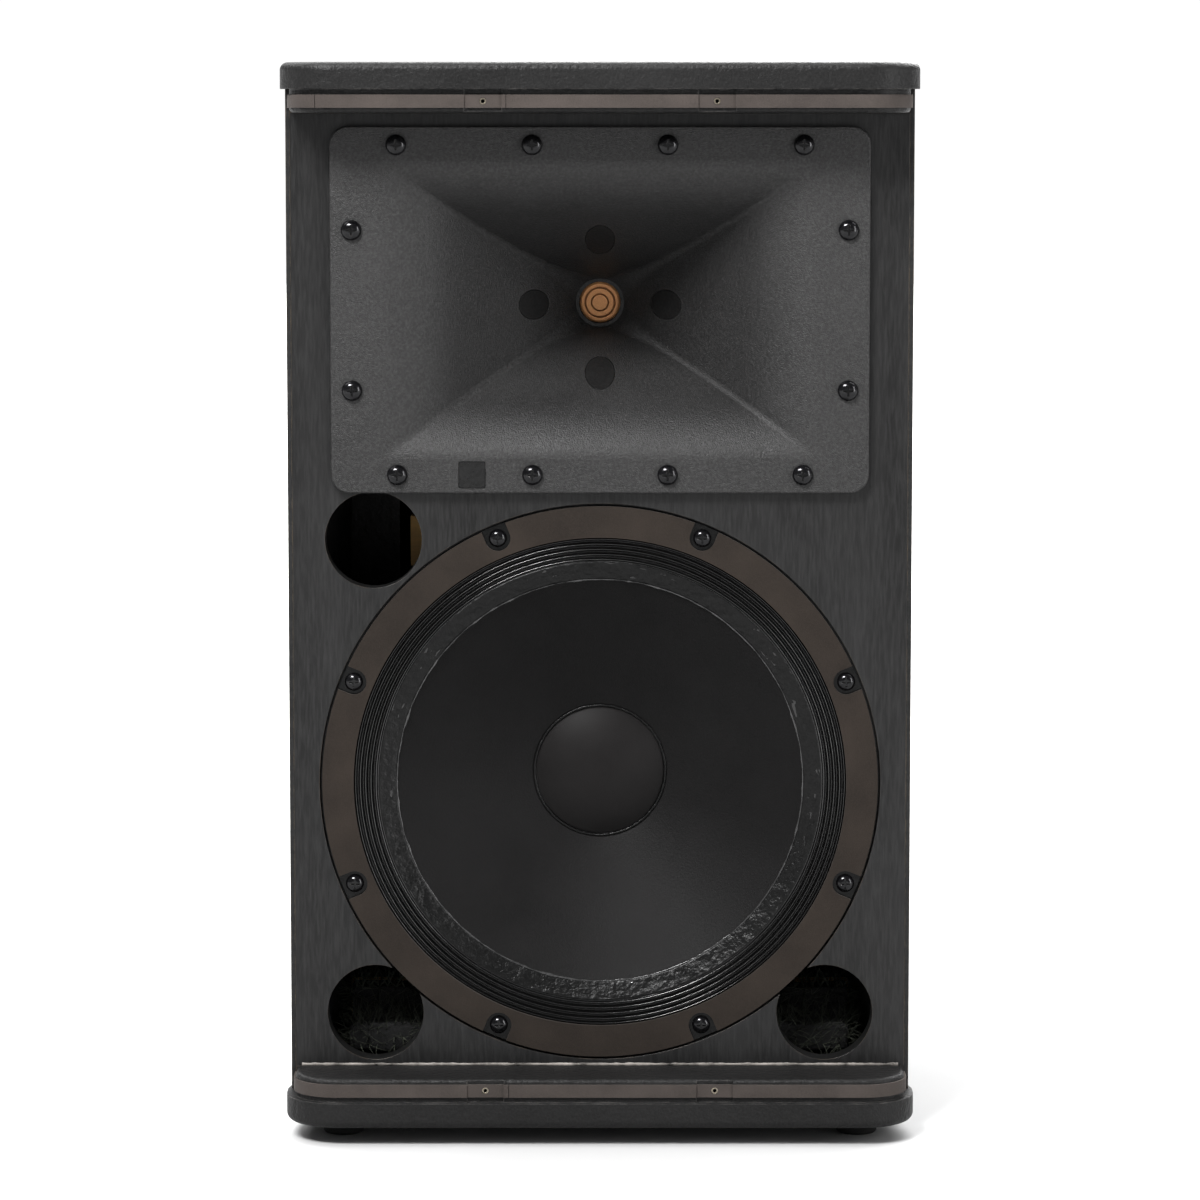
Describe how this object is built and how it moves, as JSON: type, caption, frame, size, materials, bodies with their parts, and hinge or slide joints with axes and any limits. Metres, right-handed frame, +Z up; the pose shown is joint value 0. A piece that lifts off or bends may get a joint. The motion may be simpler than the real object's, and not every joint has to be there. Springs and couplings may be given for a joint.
{
  "type": "pa speaker cabinet",
  "caption": "Two-way bass-reflex loudspeaker cabinet with a horn, a large woofer, round ports, end caps, side handles and a pole socket, shown without its grille.",
  "frame": {"origin": "on the floor, under the middle of the cabinet's bounding box", "axes": "+Z up; the baffle faces -Y; +X is to the listener's right when facing the baffle"},
  "size_m": [0.433, 0.41, 0.738],
  "materials": {
    "cabinet_paint": "textured black paint on plywood",
    "baffle_paint": "smooth satin black paint on plywood",
    "raw_ply": "bare birch plywood",
    "cap_plastic": "fine-textured black moulding",
    "horn_plastic": "fine-grained black moulding",
    "grille_tape": "taupe foam tape",
    "gasket_foam": "brown-black gasket foam",
    "black_foam": "black foam",
    "rubber_black": "matte",
    "black_screw": "gloss black oxide",
    "zinc_steel": "zinc plated",
    "insert_brass": "machined",
    "alloy": "die cast, black painted",
    "basket_black": "gloss black paint",
    "magnet_ferrite": "ferrite",
    "phase_tan": "tan moulding",
    "cone_paper": "black felted paper",
    "dust_paper": "black pressed paper",
    "surround_cloth": "doped cloth",
    "spider_cloth": "resin-dipped cotton",
    "coil_copper": "copper wire",
    "former_film": "polyimide film",
    "titanium": "thin titanium sheet",
    "board_green": "circuit board",
    "component_blue": "film capacitor case",
    "component_white": "cement resistor",
    "wadding": "charcoal polyester fibre",
    "lead_black": "cable sheath",
    "badge_plastic": "blank badge"
  },
  "bodies": {
    "root": {"baffle": "baffle_paint", "left_side_panel": "cabinet_paint", "right_side_panel": "cabinet_paint", "top_panel": "raw_ply", "bottom_panel": "raw_ply", "back_panel": "cabinet_paint", "window_brace": "raw_ply", "corner_battens": "raw_ply", "top_cap": "cap_plastic", "bottom_cap": "cap_plastic", "top_grille_tape": "grille_tape", "bottom_grille_tape": "grille_tape", "grille_inserts": "insert_brass", "rubber_feet": "rubber_black", "foot_screws": "zinc_steel", "pole_socket": "alloy", "pole_socket_screws": "black_screw", "suspension_inserts": "zinc_steel", "right_handle": "cap_plastic", "left_handle": "cap_plastic", "panel_screws": "black_screw", "input_panel": "cap_plastic", "input_sockets": "cap_plastic", "crossover_standoffs": "zinc_steel", "crossover_board": "board_green", "crossover_inductors": "coil_copper", "crossover_capacitors": "component_blue", "crossover_resistors": "component_white", "horn": "horn_plastic", "horn_badge": "badge_plastic", "horn_plugs": "horn_plastic", "horn_gasket": "black_foam", "horn_screws": "black_screw", "hf_bolts": "zinc_steel", "hf_pole_piece": "zinc_steel", "hf_magnet": "magnet_ferrite", "hf_top_plate": "zinc_steel", "phase_plug": "phase_tan", "hf_back_cover": "cap_plastic", "woofer_basket": "basket_black", "woofer_gasket": "gasket_foam", "woofer_screws": "black_screw", "woofer_nuts": "zinc_steel", "woofer_surround": "surround_cloth", "woofer_spider": "spider_cloth", "woofer_terminals": "cap_plastic", "woofer_top_plate": "zinc_steel", "woofer_magnet": "magnet_ferrite", "woofer_yoke": "zinc_steel", "floor_wadding": "wadding", "back_wadding": "wadding", "woofer_lead": "lead_black", "horn_lead": "lead_black", "input_lead": "lead_black"},
    "woofer_moving": {"woofer_cone": "cone_paper", "dust_cap": "dust_paper", "voice_coil_former": "former_film", "voice_coil": "coil_copper"},
    "hf_moving": {"hf_diaphragm": "titanium", "hf_voice_coil": "coil_copper"}
  },
  "joints": [
    {"name": "woofer_travel", "type": "slide", "parent": "root", "child": "woofer_moving", "axis": [0, -1, 0], "range_m": [-0.006, 0.006], "stiffness_N_per_m": 5000, "deforming": ["woofer_surround", "woofer_spider"]},
    {"name": "diaphragm_travel", "type": "slide", "parent": "root", "child": "hf_moving", "axis": [0, -1, 0], "range_m": [-0.0003, 0.0003], "stiffness_N_per_m": 500}
  ]
}
